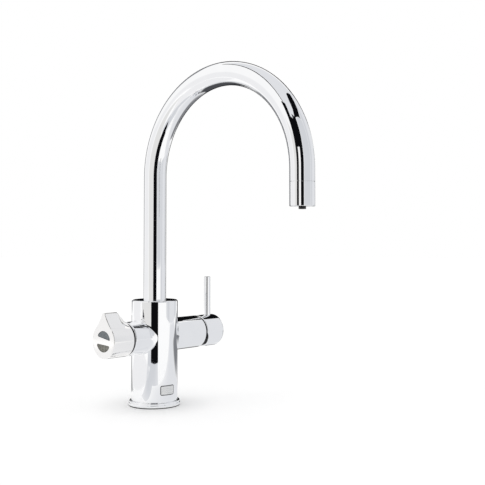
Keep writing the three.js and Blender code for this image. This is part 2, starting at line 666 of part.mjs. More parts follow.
function makeMixerHandle({ pinHole, stemStart }) {
  const capFloor = capEnd - capSolidEnd;
  const leverReach = capEnd - leverFromEnd;
  const shell = turned([
    [capBore, capStart], [armRadius - fineEdge, capStart], [armRadius, capStart + fineEdge],
    ...roundedCorner(armRadius, capEnd, capRounding), [0, capEnd], [0, capFloor], [capBore, capFloor],
  ].reverse());
  // The rim's lower half slopes away from the arm, which leaves the room that the cap tilts into.
  const relief = block(cutterSize, cutterSize, cutterSize)
    .translate(0, -cutterSize / 2, -cutterSize / 2).rotateX(-capReliefAngle).translate(0, 0, capStart);
  const liner = ring(capBore - slip, capBore - slip - capLinerWall, capStart, capFloor - slip);
  const leverFoot = armRadius - leverSocketDepth;
  const upright = (radius, low, high) =>
    bar(radius, low, high, 20).rotateX(-Math.PI / 2).translate(0, 0, leverReach);
  const hanging = (radius, low, high) =>
    bar(radius, low, high, 12).rotateX(Math.PI / 2).translate(0, 0, leverReach);
  const leverHole = upright(leverRadius + slip / 2, leverFoot - slip, armRadius + past);
  const stemHole = bar(stemRadius + slip, capFloor - past, leverReach + leverRadius, 20);
  const screwHole = hanging(screwRadius + slip, 0, armRadius + past);
  piece(mixerSide, 'mixer_cap', chrome, cut(shell, relief, leverHole, stemHole, screwHole));
  piece(mixerSide, 'mixer_cap_liner', black, cut(liner, relief));
  piece(mixerSide, 'mixer_lever', chrome, turned([
    [0, leverFoot], [leverRadius, leverFoot],
    [leverRadius, leverTop - edge], [leverRadius - edge, leverTop], [0, leverTop],
  ], 20).rotateX(-Math.PI / 2).translate(0, 0, leverReach));
  piece(mixerSide, 'mixer_stem', steel,
    cut(bar(stemRadius, stemStart, leverReach + leverRadius - slip, 20), pinHole));
  piece(mixerSide, 'mixer_grub_screw', steel,
    hanging(screwRadius, stemRadius + slip, armRadius - screwInset));
}

makeFoot();
makeBody();
makeCore();
makeSpout();
makeOutlet();
makeControlArm();
makeKnob();
makeMixerHandle(makeMixerArm());

export default tap;
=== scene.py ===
# %% [markdown]
# # A boiling water tap, piece by piece
#
# The solids come measured and jointed from the CAD model. This lesson dresses them: each part that
# shows gets a fine, smooth surface at the same size, every part gets a finish, and a small white
# studio gives the chrome something to reflect. Sizes are written in millimetres and scaled once,
# when a mesh is made, because a maker reads a tap in millimetres.

import math

import bmesh
import bpy
import numpy as np
from mathutils import Matrix, Vector


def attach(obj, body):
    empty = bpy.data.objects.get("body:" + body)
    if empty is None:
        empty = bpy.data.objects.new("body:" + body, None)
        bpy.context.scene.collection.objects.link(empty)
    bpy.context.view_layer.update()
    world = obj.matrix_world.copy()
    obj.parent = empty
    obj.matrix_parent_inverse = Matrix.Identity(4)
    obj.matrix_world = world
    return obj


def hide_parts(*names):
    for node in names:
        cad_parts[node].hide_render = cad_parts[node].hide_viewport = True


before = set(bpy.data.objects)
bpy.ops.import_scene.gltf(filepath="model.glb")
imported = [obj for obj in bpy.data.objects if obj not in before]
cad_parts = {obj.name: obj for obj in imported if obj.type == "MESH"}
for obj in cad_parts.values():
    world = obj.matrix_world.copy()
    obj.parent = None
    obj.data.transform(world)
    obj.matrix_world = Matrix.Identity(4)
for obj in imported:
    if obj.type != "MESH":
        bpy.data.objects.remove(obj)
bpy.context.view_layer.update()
MM = 0.001

# %% [markdown]
# ## Finishes
#
# Nearly all that shows is chromed brass, polished like a mirror. A mirror has no colour of its own
# to speak of: what makes it look real is a high metallic value, a very small roughness that changes
# a little from place to place, as wiped metal does, and a studio with dark and light in it. So each
# finish is a Principled shader whose roughness, and where it helps whose colour, is driven by noise
# in Object coordinates. Noise was chosen over a painted image because it has no seams on any piece.
# The knob is a separate casting with a softer polish, so it has its own chrome; its colour is also a shade
# brighter and warmer than the arms', a painted reflection tone that makes the knob read warmer white.

# %% A helper for finishes


def finish(name, low, high, rough, scale, metal=0.0, stretch=(1, 1, 1), bump=0.0, **sockets):
    """A material whose colour runs from low to high and whose roughness runs over the pair rough.

    Both follow one noise field: value = noise(scale * stretch * position), read through a map range.
    """
    material = bpy.data.materials.new(name)
    material.use_nodes = True
    nodes, links = material.node_tree.nodes, material.node_tree.links
    shader = nodes["Principled BSDF"]
    shader.inputs["Metallic"].default_value = metal
    for socket, value in sockets.items():
        shader.inputs[socket.replace("_", " ")].default_value = value
    place = nodes.new("ShaderNodeTexCoord")
    mapping = nodes.new("ShaderNodeMapping")
    mapping.inputs["Scale"].default_value = stretch
    noise = nodes.new("ShaderNodeTexNoise")
    noise.inputs["Scale"].default_value = scale
    noise.inputs["Detail"].default_value = 3
    links.new(place.outputs["Object"], mapping.inputs["Vector"])
    links.new(mapping.outputs["Vector"], noise.inputs["Vector"])
    ramp = nodes.new("ShaderNodeValToRGB")
    ramp.color_ramp.elements[0].position = 0.3
    ramp.color_ramp.elements[1].position = 0.7
    ramp.color_ramp.elements[0].color = (*low, 1)
    ramp.color_ramp.elements[1].color = (*high, 1)
    links.new(noise.outputs["Fac"], ramp.inputs["Fac"])
    links.new(ramp.outputs["Color"], shader.inputs["Base Color"])
    spread = nodes.new("ShaderNodeMapRange")
    spread.inputs["From Min"].default_value = 0.3
    spread.inputs["From Max"].default_value = 0.7
    spread.inputs["To Min"].default_value = rough[0]
    spread.inputs["To Max"].default_value = rough[1]
    links.new(noise.outputs["Fac"], spread.inputs["Value"])
    links.new(spread.outputs["Result"], shader.inputs["Roughness"])
    if bump:
        relief = nodes.new("ShaderNodeBump")
        relief.inputs["Strength"].default_value = bump
        relief.inputs["Distance"].default_value = 0.1 * MM
        links.new(noise.outputs["Fac"], relief.inputs["Height"])
        links.new(relief.outputs["Normal"], shader.inputs["Normal"])
    return material


# %% The finishes of the tap
chrome = finish("polished chrome", (0.93, 0.935, 0.945), (0.95, 0.953, 0.96), (0.02, 0.04), 60, metal=1.0)
# The knob's brighter, warmer colour is a painted reflection tone; its softer polish is real roughness.
knob_chrome_painted_warm = finish("knob chrome with painted warm tone", (0.985, 0.975, 0.96), (0.995, 0.985, 0.97), (0.05, 0.08), 60, metal=1.0)
steel = finish(
    "brushed steel", (0.5, 0.51, 0.52), (0.66, 0.67, 0.68), (0.25, 0.4), 900,
    metal=1.0, stretch=(1, 1, 0.05), bump=0.1,
)
plate_steel = finish(
    "satin plate", (0.7, 0.7, 0.69), (0.86, 0.86, 0.85), (0.22, 0.32), 700,
    metal=1.0, stretch=(0.06, 0.06, 1), bump=0.08,
)
brass = finish("turned brass", (0.55, 0.38, 0.14), (0.68, 0.5, 0.22), (0.25, 0.45), 500, metal=1.0, bump=0.1)
copper = finish("drawn copper", (0.5, 0.2, 0.09), (0.62, 0.29, 0.15), (0.25, 0.45), 300, metal=1.0)
black_plastic = finish(
    "black plastic", (0.009, 0.009, 0.01), (0.016, 0.016, 0.018), (0.35, 0.5), 1500, bump=0.2,
)
white_plastic = finish("white acetal", (0.72, 0.71, 0.68), (0.8, 0.79, 0.76), (0.35, 0.5), 1200, bump=0.1)
rubber = finish("seal rubber", (0.012, 0.012, 0.013), (0.022, 0.022, 0.023), (0.6, 0.8), 1500, bump=0.3)
blue_grey = finish("blue grey button", (0.12, 0.138, 0.15), (0.2, 0.222, 0.235), (0.22, 0.34), 260, bump=0.05)
warm_grey = finish("warm grey button", (0.1, 0.098, 0.08), (0.27, 0.265, 0.225), (0.22, 0.34), 420, bump=0.05)
print("finishes:", sorted(material.name for material in bpy.data.materials))

# %% [markdown]
# ## Surfaces from grids
#
# Every new piece is a grid of points worked out by a formula: rows run along a profile or a path,
# columns run round it. Two things matter for a mirror. Long flat stretches need a row of points
# close to each rounding, or the shading bends the reflection along their whole length. And each
# shell has to be closed, with its faces outwards, so points that coincide are welded and the number
# of open edges is printed.

# %% Helpers that make a piece


def add_piece(name, patches, materials, body, stands_for=(), sharp=38):
    """Welds patches into one closed shell. A patch is (points, around, along): a grid in millimetres,
    whose last column joins the first if around, and whose last row joins the first if along. With a
    list of materials, the patches wear them in turn."""
    corners, faces, worn, used = [], [], [], 0
    for number, (points, around, along) in enumerate(patches):
        rows, columns = points.shape[:2]
        index = used + np.arange(rows * columns).reshape(rows, columns)
        used += rows * columns
        if along:
            index = np.vstack([index, index[:1]])
        if around:
            index = np.hstack([index, index[:, :1]])
        quads = np.stack([index[:-1, :-1], index[:-1, 1:], index[1:, 1:], index[1:, :-1]], axis=-1)
        corners.append(points.reshape(-1, 3))
        faces.append(quads.reshape(-1, 4))
        worn.append(np.full(len(faces[-1]), number))
    mesh = bpy.data.meshes.new(name)
    mesh.from_pydata(np.vstack(corners) * MM, [], np.vstack(faces))
    if isinstance(materials, list):
        mesh.polygons.foreach_set("material_index", np.concatenate(worn))
    shell = bmesh.new()
    shell.from_mesh(mesh)
    bmesh.ops.remove_doubles(shell, verts=shell.verts, dist=0.002 * MM)
    bmesh.ops.dissolve_degenerate(shell, edges=shell.edges, dist=0.0005 * MM)
    bmesh.ops.recalc_face_normals(shell, faces=shell.faces)
    if shell.calc_volume(signed=True) < 0:
        bmesh.ops.reverse_faces(shell, faces=shell.faces)
    open_edges = sum(edge.is_boundary for edge in shell.edges)
    shell.to_mesh(mesh)
    shell.free()
    mesh.shade_smooth()
    mesh.set_sharp_from_angle(angle=math.radians(sharp))
    for material in materials if isinstance(materials, list) else [materials]:
        mesh.materials.append(material)
    made = bpy.data.objects.new(name, mesh)
    bpy.context.scene.collection.objects.link(made)
    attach(made, body)
    if stands_for:
        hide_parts(*stands_for)
    print(f"{name}: {len(mesh.polygons)} faces, {open_edges} open edges")
    return made


def rounded(corners, closed=False, steps=6, support=0.25):
    """An outline through corners (a, b, rounding). Each corner becomes an arc that touches both its
    edges: from the corner, step back rounding * tan(turn / 2), then follow the circle. Next to each
    arc a support point keeps the straight stretch straight in the shading."""
    points = np.array([corner[:2] for corner in corners], float)
    size = len(corners)
    outline = []
    for i in range(size):
        rounding = corners[i][2]
        if rounding == 0 or (not closed and i in (0, size - 1)):
            outline.append(points[i][None])
            continue
        before = points[i] - points[i - 1]
        after = points[(i + 1) % size] - points[i]
        before, after = before / np.linalg.norm(before), after / np.linalg.norm(after)
        cross = before[0] * after[1] - before[1] * after[0]
        turn = math.atan2(abs(cross), before @ after)
        inward = np.array([-before[1], before[0]]) * np.sign(cross)
        back = rounding * math.tan(turn / 2)
        angle = np.linspace(0, turn, steps + 1)[:, None]
        arc = points[i] - before * back + rounding * (
            np.sin(angle) * before + (1 - np.cos(angle)) * inward)
        first = arc[:1] - before * support
        last = arc[-1:] + after * support
        outline += [first, arc, last]
    return np.vstack(outline)


def turned(outline, sides=160):
    """The outline (radius, height) turned round the Z axis: (r cos a, r sin a, h)."""
    angle = np.linspace(0, 2 * math.pi, sides, endpoint=False)
    radius, height = outline[:, :1], outline[:, 1:]
    return np.stack([radius * np.cos(angle), radius * np.sin(angle), height + 0 * angle], axis=-1)


ARM_HEIGHT = 77.15


def on_control_side(points):
    """From the arm's own frame (x across, y up, z outwards) to the tap's, with z along -X."""
    x, y, z = np.moveaxis(points, -1, 0)
    return np.stack([-z, -x, ARM_HEIGHT + y], axis=-1)


def on_mixer_side(points):
    """From the arm's own frame (x across, y up, z outwards) to the tap's, with z along +X."""
    x, y, z = np.moveaxis(points, -1, 0)
    return np.stack([z, x, ARM_HEIGHT + y], axis=-1)


# %% [markdown]
# ## The foot
#
# The tap stands on a rubber gasket, and a chromed ring with two steps hides its edge. Both are
# turned on a lathe, so both are a profile turned round the axis. The ring's edges are rounded
# because on a mirror it is the rounding that draws the bright line.

# %% Gasket and ring
SLIP = 0.3
BODY_RADIUS = 26.0
RING_BORE = BODY_RADIUS + SLIP
RING_RADIUS = RING_BORE + 2.8
RING_BASE = 1.0
RING_STEP = RING_BASE + 2.7
RING_TOP = RING_BASE + 5.1
BAND_RADIUS = RING_RADIUS - 0.6

gasket_outline = rounded([
    (21.0, 0.0, 0.1), (RING_RADIUS - 0.7, 0.0, 0.2), (RING_RADIUS - 0.7, 0.9, 0.2), (21.0, 0.9, 0.1),
], closed=True, steps=3, support=0.05)
add_piece("foot_gasket", [(turned(gasket_outline), True, True)], rubber, "tap_body",
          ["base_gasket"])

ring_outline = rounded([
    (RING_BORE, RING_BASE, 0.15), (RING_RADIUS, RING_BASE, 0.35), (RING_RADIUS, RING_STEP, 0.4),
    (BAND_RADIUS, RING_STEP, 0.0), (BAND_RADIUS, RING_TOP, 0.9), (RING_BORE, RING_TOP, 0.2),
], closed=True, support=0.1)
add_piece("foot_ring", [(turned(ring_outline, 192), True, True)], chrome, "tap_body",
          ["base_ring"])

# %% [markdown]
# ## The body
#
# One chromed tube, closed on top with a hole for the spout. The top edge is rounded by not quite
# two millimetres, which gives the white line round the dark top. The arms come out of its sides, and
# they hide the holes that the solid has for them, so the surface here is a plain turned shell.

# %% Body
BODY_HEIGHT = 118.2
TUBE_RADIUS = 12.7

body_outline = rounded([
    (21.0, RING_BASE, 0.3), (BODY_RADIUS, RING_BASE, 0.3), (BODY_RADIUS, BODY_HEIGHT, 1.8),
    (TUBE_RADIUS + SLIP, BODY_HEIGHT, 0.3), (TUBE_RADIUS + SLIP, BODY_HEIGHT - 6, 0.3),
    (21.0, BODY_HEIGHT - 6, 0.3),
], closed=True, steps=8)
add_piece("body_tube", [(turned(body_outline, 224), True, True)], chrome, "tap_body",
          ["body_shell"])

# %% [markdown]
# ## The plate
#
# A small curved plate sits low on the front. On this tap it is bare: a satin field inside a raised
# rim, set in a dark frame. Its outline is a rectangle with round corners, and the plate is that outline
# drawn inwards in steps, from the frame up over the rim and down to the field, bent round the body.

# %% Plate
PLATE_HALF_WIDTH = 9.1
PLATE_HALF_HEIGHT = 5.45
PLATE_CORNER = 2.0
PLATE_CENTRE = 19.4
PLATE_TURN = math.radians(8)


def round_rectangle(half_width, half_height, corner, steps=12):
    """Outline of a rectangle with round corners: four quarter circles joined by straight edges, each
    edge cut into short lengths so that the plate can bend."""
    quarter = np.linspace(0, math.pi / 2, steps)
    loops = []
    for i, (side, top) in enumerate([(1, 1), (-1, 1), (-1, -1), (1, -1)]):
        angle = quarter + i * math.pi / 2
        centre = np.array([side * (half_width - corner), top * (half_height - corner)])
        loops.append(centre + corner * np.stack([np.cos(angle), np.sin(angle)], axis=-1))
    joined = []
    for i in range(4):
        start, end = loops[i][-1], loops[(i + 1) % 4][0]
        share = np.linspace(0, 1, 14)[1:-1, None]
        joined += [loops[i], start + share * (end - start)]
    return np.vstack(joined)


def on_body_front(flat, depth):
    """Bends flat points (across, up) round the body: angle = across / radius, radius = body + depth."""
    angle = flat[..., 0] / BODY_RADIUS - PLATE_TURN - math.pi / 2
    radius = BODY_RADIUS + depth
    return np.stack([radius * np.cos(angle), radius * np.sin(angle), PLATE_CENTRE + flat[..., 1]], -1)


def plate_rows(steps):
    """Outlines of the plate for steps of (how far inside its edge, how far out of the body)."""
    return np.stack([
        on_body_front(round_rectangle(PLATE_HALF_WIDTH - inside, PLATE_HALF_HEIGHT - inside,
                                      max(PLATE_CORNER - inside, 0.3)), depth)
        for inside, depth in steps
    ])


FIELD_DEPTH = 0.2
flat_edge = round_rectangle(PLATE_HALF_WIDTH, PLATE_HALF_HEIGHT, PLATE_CORNER)
FRAME_WIDTH = 0.8
RIM_END = FRAME_WIDTH + 0.65
flat_field = round_rectangle(PLATE_HALF_WIDTH - RIM_END, PLATE_HALF_HEIGHT - RIM_END, 0.55)
spine = np.stack([np.clip(flat_edge[:, 0], -3.65, 3.65), 0 * flat_edge[:, 1]], axis=-1)
share = np.array([0.0, 0.5, 1.0])[:, None, None]
plate_frame = plate_rows([(0.0, -0.25), (0.0, 0.12), (0.06, 0.2), (FRAME_WIDTH - 0.06, 0.2),
                          (FRAME_WIDTH, 0.08)])
plate_rim = plate_rows([(FRAME_WIDTH, 0.08), (FRAME_WIDTH, 0.2), (FRAME_WIDTH + 0.06, 0.28),
                        (FRAME_WIDTH + 0.2, 0.3), (RIM_END - 0.2, 0.3), (RIM_END - 0.1, 0.26),
                        (RIM_END, FIELD_DEPTH)])
plate_field = on_body_front(flat_field + share * (spine - flat_field), FIELD_DEPTH)
plate_back = on_body_front(flat_edge + share * (spine - flat_edge), -0.25)
add_piece("front_plate", [(plate_frame, True, False), (plate_rim, True, False), (plate_field, True, False),
                          (plate_back, True, False)],
          [rubber, plate_steel, plate_steel, rubber], "tap_body", ["badge_plate"], sharp=50)

# %% [markdown]
# ## The arms
#
# Each arm is a chromed sleeve that runs into the body. Where the two meet, a polished blend follows
# the saddle-shaped line between them. A rolled ball of one radius would fill the corner as much above
# the arm as beside it, and the photograph shows another shape: a narrow line above and below, and at
# the side a long foot like the tip of a leaf. So the foot is drawn first, as an oval on the body. The
# arc then leaves it along the plane that touches the body there, and ends along the arm.

# %% Arms
ARM_RADIUS = 18.6
ARM_BORE = 15.6
FOOT_WIDTH = 21.3
FOOT_HEIGHT = 19.8
JOINT_EDGE = 1.2


def arm_surface(reach, sides=256, blend_steps=8):
    """An arm from its foot on the body out to its open end, in the arm's own frame.

    Foot: (width cos a, height sin a) on the body, so z = sqrt(R^2 - x^2). Bend: where the plane that
    touches the body at the foot meets the line of the arm, z + (x foot - x arm) x foot / z. Start on
    the arm: as far again outwards. Blend: (1 - t)^2 foot + 2 t (1 - t) bend + t^2 start.
    """
    angle = np.linspace(0, 2 * math.pi, sides, endpoint=False)
    across, up = np.cos(angle), np.sin(angle)
    out = np.sqrt(BODY_RADIUS ** 2 - (FOOT_WIDTH * across) ** 2)
    foot = np.column_stack([FOOT_WIDTH * across, FOOT_HEIGHT * up, out])
    rise = (FOOT_WIDTH - ARM_RADIUS) * FOOT_WIDTH * across ** 2 / out
    bend = np.column_stack([ARM_RADIUS * across, ARM_RADIUS * up, out + rise])
    on_arm = bend + np.linalg.norm(foot - bend, axis=1)[:, None] * [0, 0, 1]
    t = np.linspace(0, 1, blend_steps + 1)[:, None, None]
    blend = (1 - t) ** 2 * foot + 2 * t * (1 - t) * bend + t ** 2 * on_arm
    sunk = foot * [0.985, 1, 0.985]
    edge = rounded([(ARM_RADIUS, reach - 8, 0), (ARM_RADIUS, reach, JOINT_EDGE), (ARM_BORE, reach, 0.3),
                    (ARM_BORE, 24, 0)])
    rim = turned(edge, sides)
    support = on_arm + [0, 0, 0.3]
    return np.concatenate([sunk[None], blend, support[None], rim])


CONTROL_REACH = 43.7
MIXER_REACH = 65.9
control_sleeve = on_control_side(arm_surface(CONTROL_REACH))
add_piece("control_sleeve", [(control_sleeve, True, True)], chrome, "tap_body",
          ["control_arm"])
mixer_sleeve = on_mixer_side(arm_surface(MIXER_REACH))
add_piece("mixer_sleeve", [(mixer_sleeve, True, True)], chrome, "tap_body",
          ["mixer_arm"])

# %% [markdown]
# A black ring fills each joint line, a little below the chrome, so the line reads dark all round. The
# mixer's ring is painted shade: a dark part put where the closed gap would only be in shadow. Each
# ring has a tail inside the arm that holds it.

# %% Joint rings
KNOB_GAP = 2.0
MIXER_GAP = 1.7
JOINT_RADIUS = ARM_RADIUS - 0.8


def joint_ring(start, end, tail, inner):
    """Outline of a ring from start to end, with a tail inwards along the arm down to an inner bore."""
    return rounded([
        (inner, tail, 0.2), (ARM_BORE - SLIP, tail, 0.2), (ARM_BORE - SLIP, start, 0),
        (JOINT_RADIUS, start, 0.1),
        (JOINT_RADIUS, end, 0.25), (inner, end, 0.25),
    ], closed=True, steps=4, support=0.05)


knob_ring = joint_ring(CONTROL_REACH + SLIP / 2, CONTROL_REACH + KNOB_GAP - 1.5 * SLIP,
                       CONTROL_REACH - 3, 13.6)
add_piece("knob_joint_ring", [(on_control_side(turned(knob_ring)), True, True)], black_plastic, "tap_body",
          ["knob_seam_ring"])
# The mixer's black ring is painted shade for the shadow inside the closed joint.
mixer_shade_ring_outline = joint_ring(MIXER_REACH + SLIP / 2, MIXER_REACH + 0.4 * MIXER_GAP, MIXER_REACH - 0.7, 9.9)
add_piece("mixer_shade_ring", [(on_mixer_side(turned(mixer_shade_ring_outline)), True, True)], black_plastic, "tap_body",
          ["mixer_seam_ring"])

# %% [markdown]
# ## The spout
#
# A round tube, bent over in one half circle. It could be a curve with a bevel, but a tube carried
# along its path by formula keeps every ring of points exactly square to the path, which keeps the
# reflections in the bend clean. The inner wall runs back inside, so the tube is a real pipe.

# %% Spout tube
ARCH_RADIUS = 106.0
ARCH_CENTRE = 256.9
TUBE_FOOT = 108.7
TUBE_END = 243.7
OUTLET_REACH = 2 * ARCH_RADIUS


def swept(centres, normals, radius, sides=112):
    """Rings round a path in the YZ plane: centre + radius (cos a * X + sin a * normal)."""
    angle = np.linspace(0, 2 * math.pi, sides, endpoint=False)[None, :, None]
    sideways = np.array([1.0, 0.0, 0.0])
    radius = np.asarray(radius, float).reshape(-1, 1, 1)
    return centres[:, None] + radius * (np.cos(angle) * sideways + np.sin(angle) * normals[:, None])


def spout_path(low, end, bend_steps=110):
    """Centres and outward normals of the path: up, round the half circle, and down."""
    bend = np.linspace(0, math.pi, bend_steps)
    level = np.array([low, low + 0.4, 150.0, 220.0, ARCH_CENTRE - 2])
    down = np.array([ARCH_CENTRE - 2, end + 0.4, end])
    y = np.concatenate([0 * level, -ARCH_RADIUS * (1 - np.cos(bend)), 0 * down - OUTLET_REACH])
    z = np.concatenate([level, ARCH_CENTRE + ARCH_RADIUS * np.sin(bend), down])
    outward = np.concatenate([0 * level, bend, 0 * down + math.pi])
    centres = np.stack([0 * y, y, z], axis=-1)
    return centres, np.stack([0 * y, np.cos(outward), np.sin(outward)], axis=-1)


centres, normals = spout_path(TUBE_FOOT, TUBE_END)
outer = swept(centres, normals, TUBE_RADIUS)
inner = swept(centres[::-1], normals[::-1], TUBE_RADIUS - 1)
add_piece("spout_pipe", [(np.concatenate([outer, inner]), True, True)], chrome, "spout",
          ["spout_tube"])

# %% [markdown]
# ## The outlet
#
# A short collar closes the tube. Mixed water leaves through a ring of fine slots, and boiling and
# chilled water through the small nozzle in the middle, so the two never share a passage. All three
# are turned pieces. The fine dark line between tube and collar is a real gap.

# %% Collar, insert and nozzle
COLLAR_LENGTH = 24.0
OUTLET_HEIGHT = TUBE_END - SLIP - COLLAR_LENGTH
OUTLET = np.array([0.0, -OUTLET_REACH, OUTLET_HEIGHT])
COLLAR_BORE = TUBE_RADIUS - 1.5
SPIGOT = TUBE_RADIUS - 1 - SLIP
SHOULDER = 0.8 + 12 + SLIP

collar_outline = rounded([
    (COLLAR_BORE, 0, 0.4), (TUBE_RADIUS, 0, 0.55), (TUBE_RADIUS, COLLAR_LENGTH, 0.18),
    (SPIGOT, COLLAR_LENGTH, 0), (SPIGOT, COLLAR_LENGTH + 6, 0.3), (SPIGOT - 1.5, COLLAR_LENGTH + 6, 0.3),
    (SPIGOT - 1.5, SHOULDER, 0), (COLLAR_BORE, SHOULDER, 0),
], closed=True, support=0.1)
add_piece("spout_collar", [(OUTLET + turned(collar_outline, 144), True, True)], chrome, "spout",
          ["outlet_collar"])

# The insert's open face has a few round grooves, like the slots of an aerator seen from below.
NOZZLE_RADIUS = 3.7
groove_radius = np.linspace(NOZZLE_RADIUS + 1.1, COLLAR_BORE - SLIP - 1.1, 61)
groove_depth = 0.8 + 0.9 * (0.5 - 0.5 * np.cos((groove_radius - groove_radius[0]) * 2 * math.pi / 1.13))
insert_outline = np.vstack([
    [[NOZZLE_RADIUS + SLIP, 0.8]], np.column_stack([groove_radius, groove_depth]),
    [[COLLAR_BORE - SLIP, 0.8], [COLLAR_BORE - SLIP, 12.8], [NOZZLE_RADIUS + SLIP, 12.8]],
])
add_piece("outlet_grille", [(OUTLET + turned(insert_outline, 96), True, True)], black_plastic, "spout",
          ["aerator_insert"])

nozzle_outline = rounded([
    (2.6, -2.8, 0.25), (NOZZLE_RADIUS, -2.8, 0.5), (NOZZLE_RADIUS, 11.2, 0.2), (2.6, 11.2, 0.2),
], closed=True, steps=4, support=0.1)
add_piece("centre_nozzle", [(OUTLET + turned(nozzle_outline, 72), True, True)], black_plastic, "spout",
          ["outlet_nozzle"])

# %% [markdown]
# ## The control knob
#
# The knob's section is a teardrop: a circle, and a small round tip that is the lever for the thumb.
# Between them run two hollow flanks. A straight flank would touch both circles; a hollow one is an
# arc of a larger circle that touches both from outside, so the outline has no corner at all.

# %% The teardrop outline
TIP_CENTRE = 27.6
TIP_RADIUS = 2.8
FLANK_RADIUS = 60.0


def teardrop(steps=400):
    """Points and outward normals of the outline, from the bottom round by the right to the bottom.

    The flank's centre keeps (flank + circle) from the axis and (flank + tip) from the tip's centre.
    """
    to_axis, to_tip = FLANK_RADIUS + ARM_RADIUS, FLANK_RADIUS + TIP_RADIUS
    up = (to_axis ** 2 - to_tip ** 2 + TIP_CENTRE ** 2) / (2 * TIP_CENTRE)
    flank = np.array([math.sqrt(to_axis ** 2 - up ** 2), up])
    lean = math.atan2(flank[1], flank[0])
    tip_lean = math.atan2(flank[1] - TIP_CENTRE, flank[0])
    low = np.linspace(-math.pi / 2, lean, steps)
    side = np.linspace(math.pi + lean, math.pi + tip_lean, steps // 2)[1:-1]
    tip = np.linspace(tip_lean, math.pi / 2, steps // 4)
    unit = [np.stack([np.cos(a), np.sin(a)], axis=-1) for a in (low, side, tip)]
    points = np.vstack([ARM_RADIUS * unit[0], flank + FLANK_RADIUS * unit[1],
                        [0, TIP_CENTRE] + TIP_RADIUS * unit[2]])
    outward = np.vstack([unit[0], -unit[1], unit[2]])
    mirror = np.array([-1, 1])
    return np.vstack([points, points[-2:0:-1] * mirror]), np.vstack([outward, outward[-2:0:-1] * mirror])


drop_points, drop_normals = teardrop()
print("teardrop:", len(drop_points), "points, height", round(float(np.ptp(drop_points[:, 1])), 2))

# %% [markdown]
# The knob's face has two half-moon windows. Each half of the face is a band between two loops: the
# face's own edge with the line across the middle, and the edge of the window. Both loops are sampled
# by rays from the middle of the window, so they have the same number of points and the band between
# them is a clean grid.

# %% Rays and half-moons
WINDOW_MIDDLE = 7.2
WINDOW_RADIUS = 11.3
WINDOW_FLAT = 3.5
WINDOW_CORNER = 1.3
WINDOW_TURN = {1: math.radians(-10), -1: math.radians(4)}


def seen_from(points, centre):
    """Angle of each point as seen from centre, rising along the loop."""
    return np.unwrap(np.arctan2(points[:, 1] - centre[1], points[:, 0] - centre[0]))


def along_rays(loop, values, centre, angles):
    """Values on a closed loop where rays from centre at the given angles cross it, by interpolation."""
    seen = seen_from(loop, centre)
    order = np.argsort(np.mod(seen, 2 * math.pi))
    around, sorted_values = np.mod(seen, 2 * math.pi)[order], values[order]
    wanted = np.mod(angles, 2 * math.pi)
    columns = [np.interp(wanted, around, sorted_values[:, k], period=2 * math.pi) for k in range(2)]
    return np.stack(columns, axis=-1)


def half_moon(radius, flat, corner, side, steps=60):
    """The part of a circle above a straight edge, its two corners rounded: circle arc, corner arc,
    straight edge and corner arc again, each corner's centre lying one rounding inside both edges.
    The whole is turned a little, by WINDOW_TURN of the side: p -> (x cos t - y sin t, x sin t + y cos t)."""
    corner_up = flat + corner
    corner_out = math.sqrt((radius - corner) ** 2 - corner_up ** 2)
    lean = math.atan2(corner_up, corner_out)
    big = np.linspace(lean, math.pi - lean, 3 * steps)
    right = np.linspace(-math.pi / 2, lean, steps)
    arcs = [
        radius * np.stack([np.cos(big), np.sin(big)], axis=-1),
        [-corner_out, corner_up] + corner * np.stack([-np.cos(right[::-1]), np.sin(right[::-1])], axis=-1),
        np.stack([np.linspace(-corner_out, corner_out, steps), np.full(steps, flat)], axis=-1)[1:-1],
        [corner_out, corner_up] + corner * np.stack([np.cos(right), np.sin(right)], axis=-1)[:-1],
    ]
    turn = WINDOW_TURN[side]
    return np.vstack(arcs) @ np.array([[math.cos(turn), math.sin(turn)], [-math.sin(turn), math.cos(turn)]])


upper_centre = np.array([0.0, WINDOW_MIDDLE])
end_angle = math.atan2(-WINDOW_MIDDLE, ARM_RADIUS)
sweep = np.linspace(-1, 1, 221)
rim_angles = math.pi / 2 + (math.pi / 2 - end_angle) * (0.5 * sweep + 0.5 * sweep ** 3)
line_angles = np.linspace(math.pi - end_angle, 2 * math.pi + end_angle, 61)[1:-1]
print("window:", WINDOW_RADIUS, "mm round, rays:", len(rim_angles) + len(line_angles))

# %% [markdown]
# The lower half of the face is the upper one turned over, except that its rim is the plain circle.
# The rim points of both halves together are the outline that the knob's side is built on, so face,
# side and back share their points and weld without a gap. At the joint line the knob is round like
# the arm, and it grows into the teardrop over the first few millimetres.

# %% The knob's shell
KNOB_START = CONTROL_REACH + KNOB_GAP
KNOB_FACE = KNOB_START + 28.55
FACE_BACK = KNOB_FACE - 3.0
CAVITY = ARM_RADIUS - 4.0
KNOB_EDGE = 0.9
GROWTH = 10.5
BLEND = 0.09

over = np.array([1.0, -1.0])
upper_rim = along_rays(drop_points, drop_points, upper_centre, rim_angles)
lower_rim = along_rays(drop_points * over, drop_points * over, upper_centre, rim_angles) * over
upper_rim[[0, -1]] = lower_rim[[0, -1]] = [[ARM_RADIUS, 0], [-ARM_RADIUS, 0]]
rim = np.vstack([upper_rim, lower_rim[::-1][1:-1]])
axis_angles = seen_from(rim, (0, WINDOW_MIDDLE))
rim_normals = along_rays(drop_points, drop_normals, upper_centre, axis_angles)
rim_normals /= np.linalg.norm(rim_normals, axis=1, keepdims=True)
rim_unit = rim / np.linalg.norm(rim, axis=1, keepdims=True)


def inset(amount):
    """The knob's outline drawn inwards by an amount, along its normals."""
    return rim - amount * rim_normals


def lift(flat, height):
    """Flat points (x, y) raised to a height, one number or one for each point."""
    return np.concatenate([flat, np.broadcast_to(np.asarray(height, float)[..., None], (*flat.shape[:-1], 1))],
                          axis=-1)


